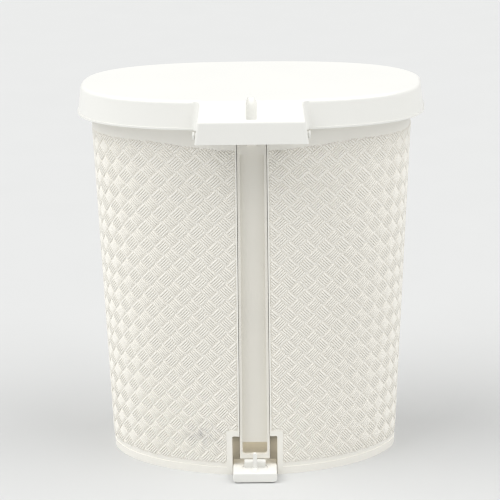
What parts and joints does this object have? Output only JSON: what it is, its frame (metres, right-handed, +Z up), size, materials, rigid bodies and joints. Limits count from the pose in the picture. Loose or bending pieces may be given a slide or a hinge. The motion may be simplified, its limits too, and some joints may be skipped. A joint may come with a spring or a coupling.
{
  "type": "pedal bin",
  "caption": "Oval white plastic pedal bin with a woven-look shell, hooded lid, rear lift rod, under-floor pedal lever and lift-out inner bucket",
  "frame": {"origin": "on the ground under the middle of the overall bounding box", "axes": "+Z up, +Y from the hinge side to the foot pedal side, +X to the right when facing the hinge side and looking along +Y"},
  "size_m": [0.3105, 0.272, 0.345],
  "materials": {
    "shell_plastic": "satin moulded basket weave",
    "lid_plastic": "smooth satin gloss",
    "pin_plastic": "smooth",
    "rod_plastic": "smooth",
    "lever_plastic": "smooth",
    "tread_rubber": "ribbed matte",
    "axle_steel": "ground bar",
    "keeper_plastic": "smooth",
    "screw_steel": "zinc plated",
    "bucket_plastic": "smooth satin",
    "bail_steel": "bright drawn wire",
    "grip_plastic": "ribbed"
  },
  "bodies": {
    "bin": {"body_shell": "shell_plastic", "hinge_pin_left": "pin_plastic", "hinge_pin_right": "pin_plastic", "pivot_axle": "axle_steel", "axle_keeper_left": "keeper_plastic", "axle_keeper_right": "keeper_plastic", "keeper_screws": "screw_steel", "inner_bucket": "bucket_plastic", "bucket_handle": "bail_steel", "handle_grip": "grip_plastic"},
    "lid": {"lid": "lid_plastic"},
    "rod": {"lift_rod": "rod_plastic"},
    "lever": {"pedal_lever": "lever_plastic", "pedal_pad": "tread_rubber"}
  },
  "joints": [
    {"name": "pedal_press", "type": "hinge", "parent": "bin", "child": "lever", "pos_m": [0, 0.02, 0.022], "axis": [-1, 0, 0], "range_deg": [0, 10.9]},
    {"name": "rod_lift", "type": "slide", "parent": "bin", "child": "rod", "axis": [0, -0.0366, 0.9993], "range_m": [0, 0.02]},
    {"name": "lid_open", "type": "hinge", "parent": "bin", "child": "lid", "pos_m": [0, -0.12, 0.319], "axis": [1, 0, 0], "range_deg": [0, 70]}
  ],
  "couplings": [
    {"joint": "rod_lift", "follows": "pedal_press", "m_per_rad": 0.105},
    {"joint": "lid_open", "follows": "pedal_press", "ratio": 6.42}
  ]
}
